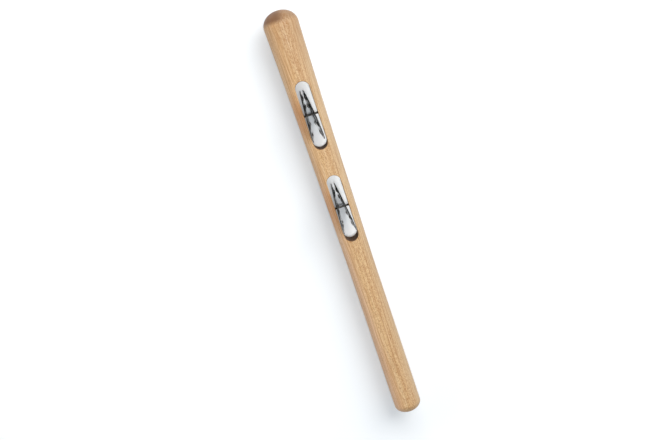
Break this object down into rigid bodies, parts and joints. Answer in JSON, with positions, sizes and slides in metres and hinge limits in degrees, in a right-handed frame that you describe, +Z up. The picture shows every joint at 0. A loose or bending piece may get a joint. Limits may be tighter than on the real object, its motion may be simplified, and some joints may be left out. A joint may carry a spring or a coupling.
{
  "type": "jingle stick",
  "caption": "Turned wooden stick with a domed head and long through slots, each crossed by a steel pin that carries loose metal jingles to shake or tap.",
  "frame": {"origin": "centre of the bottom of the bounding box, below the stick's axis, where the jingles' rims touch the surface", "axes": "+X along the stick towards the domed head, +Y along the jingle pins, +Z up through the slots"},
  "size_m": [0.4, 0.0328, 0.049],
  "materials": {
    "beech": "satin clear-lacquered beech",
    "pin_steel": "plain drawn steel",
    "jingle_steel": "polished nickel-plated sheet steel"
  },
  "bodies": {
    "stick": {"stick_body": "beech", "head_pin": "pin_steel", "handle_pin": "pin_steel"},
    "head_left": {"head_jingle_left": "jingle_steel"},
    "head_right": {"head_jingle_right": "jingle_steel"},
    "handle_left": {"handle_jingle_left": "jingle_steel"},
    "handle_right": {"handle_jingle_right": "jingle_steel"}
  },
  "joints": [
    {"name": "head_left_rock", "type": "hinge", "parent": "stick", "child": "head_left", "pos_m": [0.0999, 0.0044, 0.0245], "axis": [0, 0, 1], "range_deg": [0, 6.6]},
    {"name": "head_right_rock", "type": "hinge", "parent": "stick", "child": "head_right", "pos_m": [0.0999, -0.0021, 0.0245], "axis": [0, 0, -1], "range_deg": [0, 11.2]},
    {"name": "handle_left_rock", "type": "hinge", "parent": "stick", "child": "handle_left", "pos_m": [0.0093, 0.0044, 0.0245], "axis": [0, 0, 1], "range_deg": [0, 6.6]},
    {"name": "handle_right_rock", "type": "hinge", "parent": "stick", "child": "handle_right", "pos_m": [0.0093, -0.00285, 0.0245], "axis": [0, 0, -1], "range_deg": [0, 13.6]}
  ]
}
